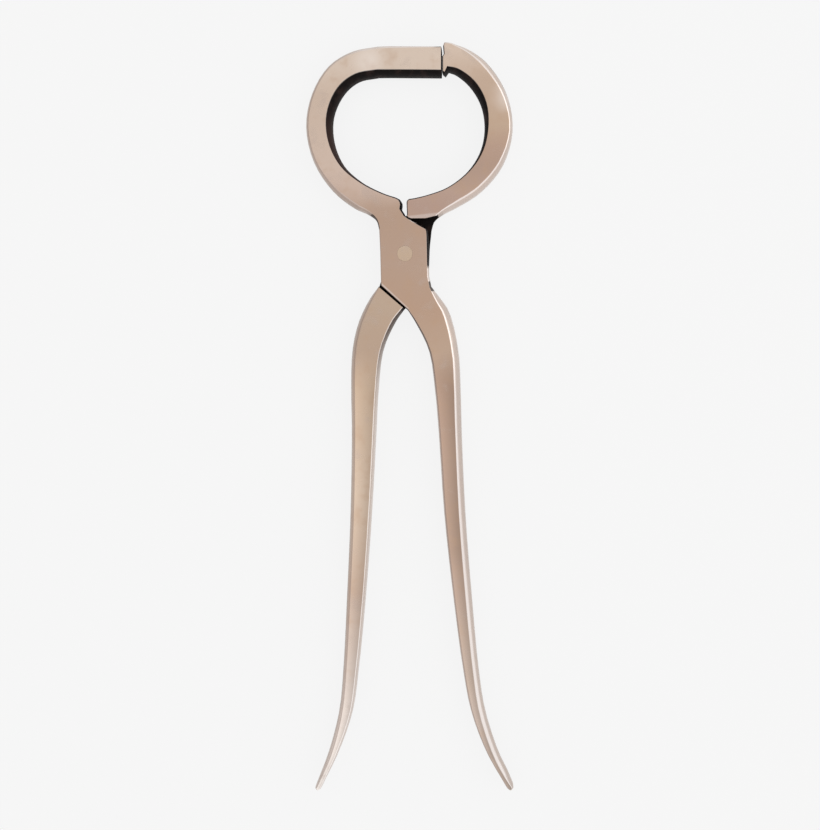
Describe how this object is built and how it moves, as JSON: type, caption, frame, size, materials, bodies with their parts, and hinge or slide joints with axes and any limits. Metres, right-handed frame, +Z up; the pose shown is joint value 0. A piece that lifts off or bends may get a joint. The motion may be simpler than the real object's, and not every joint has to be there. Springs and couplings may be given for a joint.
{
  "type": "crucible tongs",
  "caption": "Flat steel tongs whose two curved jaws close into a ring, a straight bar meeting a beak, on a half-lap rivet pivot with long tapering handles.",
  "frame": {"origin": "on the pivot axis, on the underside: the centre of the rivet's lower head", "axes": "+Y from the handles to the jaws along the tool, +Z up out of the front face through the thickness, +X to the beak jaw's side"},
  "size_m": [0.0859, 0.3102, 0.011],
  "materials": {
    "lever_steel": "satin ground steel with a warm tan cast, dark scale on the inner walls of the jaws and in the lap",
    "rivet_steel": "ground flush, slightly paler and yellower than the levers"
  },
  "bodies": {
    "bar_lever": {"bar_jaw_lever": "lever_steel", "pivot_rivet": "rivet_steel"},
    "beak_lever": {"beak_jaw_lever": "lever_steel"}
  },
  "joints": [
    {"name": "tongs_pivot", "type": "hinge", "parent": "bar_lever", "child": "beak_lever", "pos_m": [0, 0, 0.0055], "axis": [0, 0, -1], "range_deg": [0, 45]}
  ]
}
